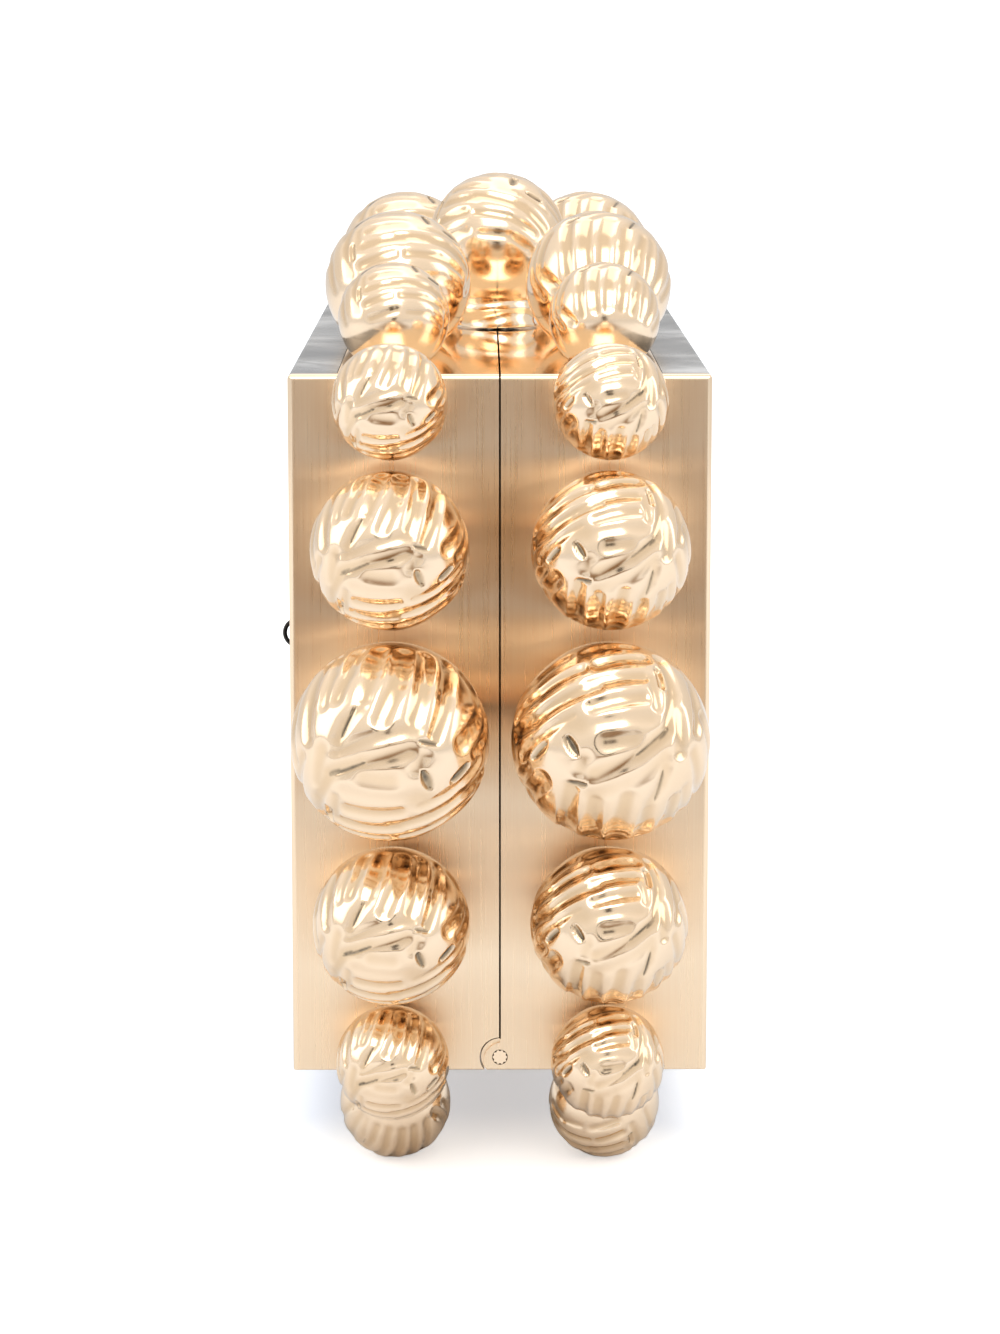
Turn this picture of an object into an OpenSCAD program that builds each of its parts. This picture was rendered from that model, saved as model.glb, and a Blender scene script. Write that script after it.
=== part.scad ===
// Box clutch in two hinged halves, dressed with rows of metal balls.
// X runs along the box, Y from front (-) to rear (+), Z up. The origin is on the
// table under the middle of the closed bag.

/* [Box] */
// Length between the two end faces
body_l = 175; // [165:1:210]
// Depth of both halves together
body_d = 68; // [62:1:90]
// Height of the box without the balls
body_h = 115; // [95:1:140]
// Gap between the two halves at the seam
seam_gap = 0.3; // [0.25:0.05:0.5]
// Thickness of the end plates
plate_t = 2; // [1.6:0.1:3]
// Thickness of the gold rails along the top and the bottom
rail_t = 1.4; // [1.2:0.1:1.6]
// Width of the panel strips beside the rails
strip_w = 8; // [6.5:0.5:10]
// Radius of the outer edges of the box
edge_r = 0.9; // [0.4:0.1:1.2]
// Radius of the bottom edges of the box
bottom_edge_r = 0.3; // [0.2:0.05:0.6]

/* [Balls] */
// Size of the small balls beside the large ones
small_ball_share = 0.587; // [0.5:0.001:0.62]
// Size of the middle balls beside the large ones
mid_ball_share = 0.804; // [0.7:0.001:0.83]
// Clearance along a column from one ball to the next
ball_gap = 1.6; // [1:0.1:3]
// Clearance between the large balls and the seam
row_gap = 1.6; // [1.5:0.05:3]
// Depth of the flat seat cut into each ball
ball_sink = 2.2; // [1.5:0.1:3]
// Height of the small end balls in from the top and bottom edges
end_inset = 3.6; // [3.5:0.1:5]
// Height of the large end balls as a share of the box height
large_rise_share = 0.506; // [0.49:0.001:0.51]
// Distance of the small top balls from the end faces
top_small_inset = 23.4; // [20:0.1:27]
// Distance of the middle top balls from the end faces
top_mid_inset = 52.6; // [49:0.1:58]

/* [Feet] */
// Depth of the flat seat cut into each foot ball
foot_sink = 1.2; // [1:0.1:1.4]
// Clearance between a foot ball and the lowest end ball
foot_gap = 1; // [0.6:0.1:3]
// Radius of the flat that each foot ball stands on
foot_flat_r = 1.6; // [1:0.1:2.4]

/* [Studs] */
// Radius of the threaded studs that hold the balls
stud_r = 1; // [0.8:0.05:1.1]
// Depth that a stud reaches into its ball
stud_grip = 5; // [4:0.5:6]
// Radius of a nut over its corners
nut_r = 1.95; // [1.8:0.05:2]
// Thickness of a nut
nut_t = 1.4; // [1.2:0.1:1.6]
// Length of stud left past its nut
stud_tail = 0.5; // [0.3:0.1:0.8]
// Clearance round a stud in its hole
stud_fit = 0.08; // [0.05:0.01:0.2]

/* [Hinge] */
// Radius of the hinge pin
pin_r = 1.2; // [1:0.05:1.3]
// Running clearance round the hinge pin
pin_fit = 0.08; // [0.02:0.01:0.1]
// Height of the hinge pin above the bottom of the box
pin_rise = 2.2; // [2.1:0.05:2.6]
// Outer radius of the hinge knuckles
knuckle_r = 3.1; // [2.9:0.05:3.3]
// Clearance round a knuckle in its socket
knuckle_fit = 0.25; // [0.2:0.05:0.4]
// Number of hinge knuckles, the odd ones on the rear half
knuckles = 7; // [5:2:11]
// Clearance between neighbouring knuckles
knuckle_side_fit = 0.2; // [0.15:0.05:0.4]
// Width of the shallow step on the outermost knuckles
step_w = 0.75; // [0.5:0.05:1]
// Depth of that step
step_t = 0.4; // [0.3:0.05:0.8]
// Direction of that step, in degrees up from the rear
step_deg = 130; // [115:1:145]
// Number of grooves in the serrated pin end
pin_grooves = 10; // [8:1:14]
// Radius of each groove
pin_groove_r = 0.18; // [0.1:0.01:0.2]
// Length of the serrated end
pin_groove_l = 3; // [2:0.5:5]

/* [Panels] */
// Thickness of the grey front and rear panels
panel_t = 3; // [2.6:0.1:3.5]
// Clearance between a panel and its frame
panel_fit = 0.1; // [0.05:0.01:0.2]
// Width of the ledges that back the panels
ledge_w = 3; // [2:0.5:4]
// Thickness of those ledges
ledge_t = 0.8; // [0.6:0.1:1]

/* [Liners] */
// Wall of the lining trays
liner_t = 1; // [0.8:0.1:1.5]
// Corner radius of the lining trays
liner_r = 4; // [3:0.5:8]
// Clearance round the lining trays
liner_fit = 0.3; // [0.2:0.05:0.5]
// Room kept above the trays for the clasp
liner_top_room = 9; // [8.5:0.5:14]
// Height of the block that carries the knuckles
block_h = 6.4; // [6.2:0.1:8]
// Width of that block in each half
block_w = 6; // [5:0.5:8]

/* [Clasp] */
// Depth of the flat under the clasp ball
clasp_sink = 2; // [1.2:0.1:2.4]
// Radius of the collar under the clasp ball
collar_r = 7.4; // [6.8:0.1:9]
// Thickness of that collar
collar_t = 4.7; // [4.2:0.1:5.4]
// Gap between the collar and the top of the box
collar_gap = 0.3; // [0.2:0.05:0.5]
// Radius of the clasp stem
stem_r = 2.2; // [1.8:0.1:2.6]
// Depth that the stem reaches into its ball
stem_grip = 7; // [5:0.5:9]
// Running clearance round the stem in its bearing
stem_fit = 0.05; // [0.02:0.01:0.1]
// Clearance round the stem in the seam of the rails
notch_fit = 1.8; // [1.2:0.1:2.4]
// Thickness of the bearing bridge
bridge_t = 1.8; // [1.5:0.1:2.2]
// Half width of the bearing bridge
bridge_r = 5; // [4.5:0.1:5.4]
// Length of the bearing bridge behind the seam
bridge_l = 15; // [12:0.5:18]
// Distance of the bridge rivets from the seam
rivet_y = 9.5; // [8.5:0.5:11]
// Distance from one bridge rivet to the other
rivet_step = 5; // [4:0.2:5.6]
// Radius of a rivet's shank
rivet_r = 0.8; // [0.6:0.05:1]
// Radius of a rivet's head
rivet_head_r = 1.5; // [1.2:0.05:1.7]
// Thickness of a rivet's head
rivet_head_t = 0.6; // [0.4:0.05:0.8]
// Thickness of the latch arm
arm_t = 1.5; // [1.2:0.1:2]
// Width of the latch arm
arm_w = 4; // [3:0.2:5]
// Radius of the latch arm's hub
hub_r = 4; // [3.4:0.1:4.6]
// Vertical clearance between the moving latch parts
latch_gap = 0.3; // [0.2:0.05:0.4]
// Distance from the stem to the inside of the latch arm's lip
lip_reach = 9.1; // [8.8:0.1:9.6]
// Thickness of that lip and of the keeper's fin
lip_t = 1.2; // [1:0.1:1.5]
// Radial play between the lip and the keeper's fin
lip_gap = 0.4; // [0.3:0.05:0.6]
// Width of the keeper
keeper_w = 6; // [5:0.2:8]
// Thickness of the keeper's base
keeper_t = 0.9; // [0.7:0.1:1.1]
// Radius of the latch nut over its corners
latch_nut_r = 3.4; // [3:0.1:3.8]
// Thickness of the latch nut
latch_nut_t = 1.8; // [1.4:0.1:2.2]

/* [Ring] */
// Height of the staple bar above the bottom of the box
staple_rise = 59; // [40:1:70]
// Distance of the staple bar from the front face
staple_reach = 3.3; // [3.3:0.1:4.5]
// Radius of the staple wire
staple_wire_r = 0.5; // [0.4:0.05:0.6]
// Distance between the two legs of the staple
staple_w = 5; // [4:0.2:6]
// Depth of the staple legs in the panel
staple_grip = 2.2; // [1.6:0.1:2.4]
// Radius of the ring, to the middle of its wire
ring_r = 2.5; // [2.3:0.05:2.6]
// Radius of the ring wire
ring_wire_r = 0.4; // [0.35:0.05:0.5]
// Clearance of the ring on its bar
ring_fit = 0.1; // [0.05:0.05:0.2]

/* [Hidden] */
$fn = 48;
over = 0.5;
outline_share = 0.6;
half_l = body_l / 2;
half_d = body_d / 2;
seam_y = seam_gap / 2;
inner_l = half_l - plate_t;
rail_w = half_d - strip_w;
stud_hole_r = stud_r + stud_fit;
stud_out = plate_t + nut_t + stud_tail;
rail_stud_out = rail_t + nut_t + stud_tail;

// Sizes of the balls, from the room in a column of five
column_l = body_h - 2 * end_inset - 4 * ball_gap;
large_r = column_l / (2 + 4 * mid_ball_share + 2 * small_ball_share);
mid_r = large_r * mid_ball_share;
small_r = large_r * small_ball_share;
row_y = large_r + row_gap;

// Places of the balls
end_low = end_inset;
end_high = body_h - end_inset;
end_large = body_h * large_rise_share;
gap_share = (small_r + mid_r) / (small_r + 2 * mid_r + large_r);
end_rises = [
    end_low,
    end_low + (end_large - end_low) * gap_share,
    end_large,
    end_high - (end_high - end_large) * gap_share,
    end_high
];
end_radii = [small_r, mid_r, large_r, mid_r, small_r];
top_small_x = half_l - top_small_inset;
top_mid_x = half_l - top_mid_inset;
top_places = [-top_small_x, -top_mid_x, top_mid_x, top_small_x];
top_radii = [small_r, mid_r, mid_r, small_r];
foot_away = 2 * small_r + foot_gap;
foot_below = end_inset + small_r - foot_sink;
foot_x = half_l + small_r - ball_sink - sqrt(foot_away * foot_away - foot_below * foot_below);
foot_places = [-foot_x, foot_x];
foot_flat_rise = sqrt(small_r * small_r - foot_flat_r * foot_flat_r);
foot_drop = small_r - foot_sink + foot_flat_rise;

// Clasp heights, from the top of the rails down
rail_low = body_h - rail_t;
bridge_high = rail_low - latch_gap;
bridge_low = bridge_high - bridge_t;
arm_high = bridge_low - latch_gap;
arm_low = arm_high - arm_t;
lip_high = rail_low - keeper_t - latch_gap;
fin_low = arm_high + latch_gap;
fin_r = lip_reach - lip_gap;
collar_low = body_h + collar_gap;
collar_high = collar_low + collar_t;
stem_low = arm_low - latch_nut_t - stud_tail;
stem_high = collar_high + stem_grip;
clasp_z = collar_high + mid_r - clasp_sink;

// Hinge and panels
knuckle_l = body_l / knuckles;
rear_knuckles = [for (i = [0:2:knuckles - 1]) i];
front_knuckles = [for (i = [1:2:knuckles - 1]) i];
flange_end = rail_w + panel_fit;
ledge_high = panel_t + panel_fit + ledge_t;
liner_l = 2 * (inner_l - nut_t - stud_tail - liner_fit - liner_t);
liner_low = block_h + liner_fit;
liner_high = body_h - liner_top_room;
liner_y = seam_y + liner_t;
liner_back = half_d - panel_t - liner_fit;

// Ring
ring_inner_r = ring_r - ring_wire_r;
ring_drop = ring_inner_r - staple_wire_r - ring_fit;
ring_out = staple_reach + ring_r + ring_wire_r;
bar_y = -half_d - staple_reach;

function names(stem, count) = [for (i = [1:count]) str(stem, i)];

// Shared placing: the whole bag stands on its feet, centred on the ring's reach
module placed() translate([0, ring_out / 2, foot_drop]) children();

// Parts are drawn for the rear half and mirrored for the front one
module front_side() placed() mirror([0, 1, 0]) children();

module rear_side() placed() children();

module soft_rect(w, h, r) {
    square([w - 2 * r, h], center = true);
    square([w, h - 2 * r], center = true);
    for (x = [-1, 1], y = [-1, 1])
        translate([x * (w / 2 - r), y * (h / 2 - r)]) circle(r);
}

// Extrudes along X a shape drawn in Y and Z
module along_x(l) rotate([90, 0, 90]) linear_extrude(l, center = true) children();

// Extrudes along Y a shape drawn in X and Z
module along_y(l) rotate([90, 0, 0]) linear_extrude(l, center = true) children();

module x_rod(r, l) rotate([0, 90, 0]) cylinder(r = r, h = l, center = true);

// Upright outline of the box, with smaller corners at the bottom
module side_outline(w) {
    part_h = body_h * outline_share;
    translate([0, body_h - part_h / 2]) soft_rect(w, part_h, edge_r);
    translate([0, part_h / 2]) soft_rect(w, part_h, bottom_edge_r);
}

// Outer form of the closed box with its softened edges
module envelope() {
    intersection() {
        along_x(body_l) side_outline(body_d);
        along_y(body_d) side_outline(body_l);
        linear_extrude(body_h) soft_rect(body_l, body_d, edge_r);
    }
}

module end_plates() {
    for (x = [-half_l, inner_l])
        translate([x, seam_y, 0]) cube([plate_t, half_d - seam_y, body_h]);
}

module rails() {
    for (z = [0, rail_low])
        translate([-half_l, seam_y, z]) cube([body_l, rail_w - seam_y, rail_t]);
    translate([-half_l, seam_y, 0]) cube([body_l, block_w - seam_y, block_h]);
}

// Turned-in lips that back the panel's top and bottom flanges and its sides
module ledges() {
    for (top = [0, 1]) {
        web_z = top ? body_h - ledge_high : 0;
        tongue_z = top ? body_h - ledge_high : ledge_high - ledge_t;
        translate([-inner_l, rail_w - ledge_t, web_z]) cube([2 * inner_l, ledge_t, ledge_high]);
        translate([-inner_l, rail_w - ledge_t, tongue_z])
            cube([2 * inner_l, ledge_t + ledge_w, ledge_t]);
    }
    for (x = [-inner_l, inner_l - ledge_w])
        translate([x, half_d - ledge_high, ledge_high])
            cube([ledge_w, ledge_t, body_h - 2 * ledge_high]);
}

module knuckle_span(i, clear) {
    side = knuckle_side_fit / 2;
    low = -half_l + i * knuckle_l + (i == 0 ? 0 : side);
    high = -half_l + (i + 1) * knuckle_l - (i == knuckles - 1 ? 0 : side);
    translate([(low + high) / 2, 0, pin_rise]) along_x(high - low + 2 * clear) children();
}

module knuckle(i) knuckle_span(i, 0) circle(knuckle_r);

// Shallow crescent step round the free edge of the outermost knuckles
module knuckle_steps() {
    for (x = [-half_l, half_l])
        translate([x, 0, pin_rise]) along_x(2 * step_t) difference() {
            translate([-knuckle_r - over, -knuckle_r - over]) square([knuckle_r + over, 2 * (knuckle_r + over)]);
            rotate(step_deg) translate([-step_w, 0]) circle(knuckle_r);
        }
}

module socket(i) knuckle_span(i, knuckle_side_fit) circle(knuckle_r + knuckle_fit);

module end_stud_places() {
    for (x = [-1, 1], z = end_rises)
        translate([x * half_l, row_y, z]) rotate([0, x * 90, 0]) children();
}

module top_stud_places() for (x = top_places) translate([x, row_y, body_h]) children();

module foot_stud_places() for (x = foot_places) translate([x, row_y, 0]) rotate([180, 0, 0]) children();

module stud_holes() {
    end_stud_places() translate([0, 0, -plate_t - over]) cylinder(r = stud_hole_r, h = plate_t + 2 * over);
    top_stud_places() translate([0, 0, -rail_t - over]) cylinder(r = stud_hole_r, h = rail_t + 2 * over);
    foot_stud_places() translate([0, 0, -rail_t - over]) cylinder(r = stud_hole_r, h = rail_t + 2 * over);
}

// One half of the gold frame, drawn as the rear one
module half_frame(own, others) {
    difference() {
        intersection() {
            envelope();
            union() {
                end_plates();
                rails();
                ledges();
                for (i = own) knuckle(i);
            }
        }
        for (i = others) socket(i);
        translate([0, 0, pin_rise]) x_rod(pin_r + pin_fit, body_l + 2 * over);
        stud_holes();
        translate([0, 0, rail_low - over]) cylinder(r = stem_r + notch_fit, h = rail_t + 2 * over);
    }
}

module front_frame() color("#d9b98c") front_side() half_frame(front_knuckles, rear_knuckles);

module rear_frame() color("#d9b98c") rear_side() difference() {
    half_frame(rear_knuckles, front_knuckles);
    knuckle_steps();
    rivet_places() cylinder(r = rivet_r + stud_fit, h = rail_t / 2);
}

// Channel-shaped panel: face, top flange and bottom flange in one bent sheet
module panel() {
    panel_l = 2 * (inner_l - panel_fit);
    intersection() {
        envelope();
        difference() {
            translate([-panel_l / 2, flange_end, 0]) cube([panel_l, half_d - flange_end, body_h]);
            translate([-half_l, 0, panel_t]) cube([body_l, half_d - panel_t, body_h - 2 * panel_t]);
        }
    }
}

module front_panel() color("#8f8f90") front_side() difference() {
    panel();
    staple_legs(stud_fit);
}

module rear_panel() color("#8f8f90") rear_side() panel();

// Lining tray with a flange at each end that meets the end plates
module liner() {
    liner_h = liner_high - liner_low;
    depth = liner_back - liner_y;
    mid_z = (liner_low + liner_high) / 2;
    difference() {
        union() {
            translate([0, liner_y + depth / 2, mid_z]) along_y(depth) soft_rect(liner_l, liner_h, liner_r);
            translate([0, liner_y + liner_t / 2, mid_z])
                cube([2 * (inner_l - panel_fit), liner_t, liner_h - 2 * liner_r], center = true);
        }
        translate([0, liner_y + (depth - liner_t) / 2 - over, mid_z]) along_y(depth - liner_t + 2 * over)
            soft_rect(liner_l - 2 * liner_t, liner_h - 2 * liner_t, liner_r - liner_t);
    }
}

module front_liner() color("#3a342f") front_side() liner();

module rear_liner() color("#3a342f") rear_side() liner();

module hinge_pin() color("#c9a468") rear_side() difference() {
    translate([0, 0, pin_rise]) x_rod(pin_r, body_l);
    for (i = [0:pin_grooves - 1])
        translate([half_l, 0, pin_rise]) rotate([i * 360 / pin_grooves, 0, 0])
            translate([0, 0, pin_r]) x_rod(pin_groove_r, 2 * pin_groove_l);
}

module ball(r, sink) {
    difference() {
        translate([0, 0, r - sink]) sphere(r);
        translate([-r, -r, -sink - over]) cube([2 * r, 2 * r, sink + over]);
        translate([0, 0, -over]) cylinder(r = stud_hole_r, h = stud_grip + over);
    }
}

module end_ball(x, i) {
    color("#f0cfa0") translate([x * half_l, row_y, end_rises[i]]) rotate([0, x * 90, 0])
        ball(end_radii[i], ball_sink);
}

module top_ball(i) {
    color("#f0cfa0") translate([top_places[i], row_y, body_h]) ball(top_radii[i], ball_sink);
}

module foot_ball(i) {
    color("#f0cfa0") difference() {
        translate([foot_places[i], row_y, 0]) rotate([180, 0, 0]) ball(small_r, foot_sink);
        translate([foot_places[i] - small_r, row_y - small_r, -foot_drop - small_r])
            cube([2 * small_r, 2 * small_r, small_r]);
    }
}

module stud(out) translate([0, 0, -out]) cylinder(r = stud_r, h = out + stud_grip - stud_fit);

module nut(wall) {
    translate([0, 0, -wall - nut_t]) difference() {
        cylinder(r = nut_r, h = nut_t, $fn = 6);
        translate([0, 0, -over]) cylinder(r = stud_hole_r, h = nut_t + 2 * over);
    }
}

module ball_studs() {
    end_stud_places() stud(stud_out);
    top_stud_places() stud(rail_stud_out);
    foot_stud_places() stud(rail_stud_out);
}

module ball_nuts() {
    end_stud_places() nut(plate_t);
    top_stud_places() nut(rail_t);
    foot_stud_places() nut(rail_t);
}

module front_ball_studs() color("#b8b8b8") front_side() ball_studs();

module rear_ball_studs() color("#b8b8b8") rear_side() ball_studs();

module front_ball_nuts() color("#a8a8a8") front_side() ball_nuts();

module rear_ball_nuts() color("#a8a8a8") rear_side() ball_nuts();

// Clasp: ball, collar, stem, arm and nut turn together in the bridge
module clasp_ball() color("#f0cfa0") rear_side() difference() {
    translate([0, 0, clasp_z]) sphere(mid_r);
    cylinder(r = mid_r, h = collar_high);
    cylinder(r = stem_r + stud_fit, h = stem_high + stud_fit);
}

module clasp_collar() color("#d9b98c") rear_side() difference() {
    translate([0, 0, collar_low]) cylinder(r = collar_r, h = collar_t);
    cylinder(r = stem_r + stud_fit, h = collar_high + over);
}

module clasp_stem() color("#c9a468") rear_side()
    translate([0, 0, stem_low]) cylinder(r = stem_r, h = stem_high - stem_low);

module rivet_places() {
    for (x = [-1, 1]) translate([x * rivet_step / 2, rivet_y, rail_low]) children();
}

module latch_bridge() color("#c9a468") rear_side() difference() {
    union() {
        translate([0, 0, bridge_low]) cylinder(r = bridge_r, h = bridge_t);
        translate([-bridge_r, 0, bridge_low]) cube([2 * bridge_r, bridge_l, bridge_t]);
        translate([-bridge_r, bridge_r, bridge_low])
            cube([2 * bridge_r, bridge_l - bridge_r, rail_low - bridge_low]);
    }
    cylinder(r = stem_r + stem_fit, h = body_h);
    rivet_places() cylinder(r = rivet_r + stud_fit, h = 2 * body_h, center = true);
}

module bridge_rivets() color("#b8b8b8") rear_side() rivet_places() {
    rivet_l = rail_low - bridge_low;
    translate([0, 0, -rivet_l]) cylinder(r = rivet_r, h = rivet_l + rail_t / 2 - stud_fit);
    translate([0, 0, -rivet_l - rivet_head_t]) cylinder(r = rivet_head_r, h = rivet_head_t);
}

module latch_arm() color("#c9a468") rear_side() difference() {
    union() {
        translate([0, 0, arm_low]) cylinder(r = hub_r, h = arm_t);
        translate([-lip_reach - lip_t, -arm_w / 2, arm_low]) cube([lip_reach + lip_t, arm_w, arm_t]);
        translate([-lip_reach - lip_t, -arm_w / 2, arm_low]) cube([lip_t, arm_w, lip_high - arm_low]);
    }
    cylinder(r = stem_r + stud_fit, h = body_h);
}

module latch_nut() color("#a8a8a8") rear_side() translate([0, 0, arm_low - latch_nut_t]) difference() {
    cylinder(r = latch_nut_r, h = latch_nut_t, $fn = 6);
    translate([0, 0, -over]) cylinder(r = stem_r + stud_fit, h = latch_nut_t + 2 * over);
}

// Keeper: a curved fin that the arm's lip turns behind, on a small base
module latch_keeper() color("#c9a468") front_side() difference() {
    union() {
        intersection() {
            translate([0, 0, fin_low]) cylinder(r = fin_r, h = rail_low - fin_low);
            translate([-keeper_w / 2, 0, 0]) cube([keeper_w, body_d, body_h]);
        }
        translate([-keeper_w / 2, bridge_r + lip_t, rail_low - keeper_t])
            cube([keeper_w, fin_r + ledge_w - bridge_r - lip_t, keeper_t]);
    }
    translate([0, 0, fin_low - over]) cylinder(r = fin_r - lip_t, h = rail_low - keeper_t - fin_low + over);
    cylinder(r = bridge_r + lip_t, h = body_h);
}

module staple_legs(fit) {
    for (x = [-1, 1])
        translate([x * staple_w / 2, half_d - staple_grip - fit, staple_rise]) rotate([-90, 0, 0])
            cylinder(r = staple_wire_r + fit, h = staple_grip + staple_reach + fit);
}

module ring_staple() color("#3b3b3d") front_side() {
    staple_legs(0);
    translate([0, -bar_y, staple_rise]) x_rod(staple_wire_r, staple_w);
    for (x = [-1, 1]) translate([x * staple_w / 2, -bar_y, staple_rise]) sphere(staple_wire_r);
}

module pull_ring() color("#3b3b3d") placed()
    translate([0, bar_y, staple_rise - ring_drop]) rotate([0, 90, 0])
        rotate_extrude() translate([ring_r, 0]) circle(ring_wire_r, $fn = 24);

front_frame();
rear_frame();
front_panel();
rear_panel();
front_liner();
rear_liner();
hinge_pin();
front_ball_studs();
rear_ball_studs();
front_ball_nuts();
rear_ball_nuts();
clasp_ball();
clasp_collar();
clasp_stem();
latch_bridge();
bridge_rivets();
latch_arm();
latch_nut();
latch_keeper();
ring_staple();
pull_ring();
for (i = [0:4]) {
    front_side() end_ball(1, i);
    front_side() end_ball(-1, i);
    rear_side() end_ball(1, i);
    rear_side() end_ball(-1, i);
}
for (i = [0:3]) {
    front_side() top_ball(i);
    rear_side() top_ball(i);
}
for (i = [0:1]) {
    front_side() foot_ball(i);
    rear_side() foot_ball(i);
}
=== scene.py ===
import math
import random
import bpy
import numpy as np
from mathutils import Matrix, Vector


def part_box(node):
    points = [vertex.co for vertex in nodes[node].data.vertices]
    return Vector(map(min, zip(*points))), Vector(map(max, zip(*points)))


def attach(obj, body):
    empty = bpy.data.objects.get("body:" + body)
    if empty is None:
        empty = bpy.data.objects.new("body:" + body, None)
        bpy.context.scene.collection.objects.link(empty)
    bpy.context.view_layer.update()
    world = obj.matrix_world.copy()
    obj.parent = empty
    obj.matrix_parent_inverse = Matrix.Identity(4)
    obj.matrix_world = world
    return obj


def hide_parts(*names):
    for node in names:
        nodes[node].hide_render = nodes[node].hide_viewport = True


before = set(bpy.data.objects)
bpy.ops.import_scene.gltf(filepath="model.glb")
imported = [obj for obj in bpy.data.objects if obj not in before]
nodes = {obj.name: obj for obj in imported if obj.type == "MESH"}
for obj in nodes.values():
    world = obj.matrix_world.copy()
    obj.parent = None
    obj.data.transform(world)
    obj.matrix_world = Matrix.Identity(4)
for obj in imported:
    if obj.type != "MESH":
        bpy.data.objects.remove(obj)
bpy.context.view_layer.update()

print("frame loaded:", len(nodes), "nodes")

# node settings that many of the trees below share
colourMix, numberMix = {"data_type": "RGBA"}, {"data_type": "FLOAT"}
softEdge = {"interpolation_type": "SMOOTHSTEP"}


def linearColour(code):
    values = [int(code[i:i + 2], 16) / 255 for i in (1, 3, 5)]
    return tuple(v / 12.92 if v <= 0.04045 else ((v + 0.055) / 1.055) ** 2.4 for v in values) + (1.0,)


def perMetre(mm):
    # a pattern's scale on coordinates in metres, from the real width of one patch of it
    return 1000.0 / mm


def addNode(tree, kind, settings=None, inputs=None, links=None):
    node = tree.nodes.new(kind)
    for name, value in (settings or {}).items():
        setattr(node, name, value)
    for name, value in (inputs or {}).items():
        node.inputs[name].default_value = value
    for name, source in (links or {}).items():
        tree.links.new(source, node.inputs[name])
    return node


def setRamp(node, stops):
    ramp, stops = node.color_ramp, list(stops)
    while len(ramp.elements) < len(stops):
        ramp.elements.new(0.5)
    for element, (position, colour) in zip(ramp.elements, stops):
        element.position = position
        element.color = linearColour(colour)


def newMaterial(name):
    material = bpy.data.materials.new(name)
    material.use_nodes = True
    tree = material.node_tree
    tree.nodes.clear()
    shader = addNode(tree, "ShaderNodeBsdfPrincipled")
    addNode(tree, "ShaderNodeOutputMaterial", links={"Surface": shader.outputs["BSDF"]})
    place = addNode(tree, "ShaderNodeTexCoord")
    return material, tree, shader, place


def putInScene(thing):
    bpy.context.scene.collection.objects.link(thing)
    return thing


cameraSettings = {
    "place": (0.628, 0.0, 0.1874),
    "pitch": 8.51,          # degrees below the horizon
    "yaw": 0.33,            # degrees to the side
    "lens": 91.75,          # mm on the long side of the sensor
    "sensor": 36.0,         # mm
    "shiftY": -0.0997,
    "clip": (0.01, 50.0),
}


def makeCamera(s):
    data = bpy.data.cameras.new("photoCamera")
    data.sensor_fit = "AUTO"
    data.sensor_width, data.lens, data.shift_y = s["sensor"], s["lens"], s["shiftY"]
    data.clip_start, data.clip_end = s["clip"]
    camera = putInScene(bpy.data.objects.new("photoCamera", data))
    pitch, yaw = math.radians(s["pitch"]), math.radians(s["yaw"])
    forward = Vector((-math.cos(pitch) * math.cos(yaw), math.cos(pitch) * math.sin(yaw),
                      -math.sin(pitch)))
    right = Vector((math.sin(yaw), math.cos(yaw), 0.0))
    up = right.cross(forward)
    x, y, z = s["place"]
    camera.matrix_world = Matrix((
        (right.x, up.x, -forward.x, x),
        (right.y, up.y, -forward.y, y),
        (right.z, up.z, -forward.z, z),
        (0, 0, 0, 1)))
    bpy.context.scene.camera = camera


roomSettings = {
    "back": 0.8, "front": 0.9, "ceiling": 1.0,      # radiance of the white walls and ceiling
    "turn": 0.8,                    # how far round the front wall runs into the back wall
    "eaves": (0.25, 0.75),          # where the walls run into the ceiling
    "seen": 1.6,                    # the backdrop past the paper, burnt out in the picture
}


def makeRoom(s):
    world = bpy.data.worlds.new("studioRoom")
    bpy.context.scene.world = world
    world.use_nodes = True
    tree = world.node_tree
    tree.nodes.clear()
    look = addNode(tree, "ShaderNodeTexCoord")
    axis = addNode(tree, "ShaderNodeSeparateXYZ", links={"Vector": look.outputs["Generated"]})
    walls = addNode(tree, "ShaderNodeMapRange",
                    inputs={"From Min": -s["turn"], "From Max": s["turn"],
                            "To Min": s["back"], "To Max": s["front"]},
                    links={"Value": axis.outputs["X"]})
    height = addNode(tree, "ShaderNodeMapRange",
                     inputs={"From Min": s["eaves"][0], "From Max": s["eaves"][1]},
                     links={"Value": axis.outputs["Z"]})
    lit = addNode(tree, "ShaderNodeMix", numberMix, {3: s["ceiling"]},
                  {0: height.outputs["Result"], 2: walls.outputs["Result"]})
    ray = addNode(tree, "ShaderNodeLightPath")
    strength = addNode(tree, "ShaderNodeMix", numberMix, {3: s["seen"]},
                       {0: ray.outputs["Is Camera Ray"], 2: lit.outputs[0]})
    back = addNode(tree, "ShaderNodeBackground", inputs={"Color": (1, 1, 1, 1)},
                   links={"Strength": strength.outputs[0]})
    addNode(tree, "ShaderNodeOutputWorld", links={"Surface": back.outputs["Background"]})


paperSettings = {
    "paper": "#E9EDF3", "table": "#7E6549",         # what the gold mirrors: the paper, and painted shade in a darker brown in front of it
    "tableFrom": (0.20, 0.60),      # m in front of the bag where the paper gives way to that painted shade
    "tableSide": (0.16, 0.45),      # m to each side where that painted shade fades out
    "shadeSeen": "#D9E2F3", "openSeen": "#F1F2F3",  # paper colour the camera sees under the bag and past it; the bag's shadow on it is painted shade
    "shadeGlow": 0.37, "openGlow": 0.52,            # glow the camera sees there, weaker under the bag so as to paint its shadow
    "endEdge": (0.052, 0.080),      # m along the bag from its middle where the painted shadow ends
    "sideEdge": (0.024, 0.046),     # m across the bag
    "roughness": 0.9, "gloss": 0.2,
    "reach": 20.0,                  # m from the middle to the edges
}


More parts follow.
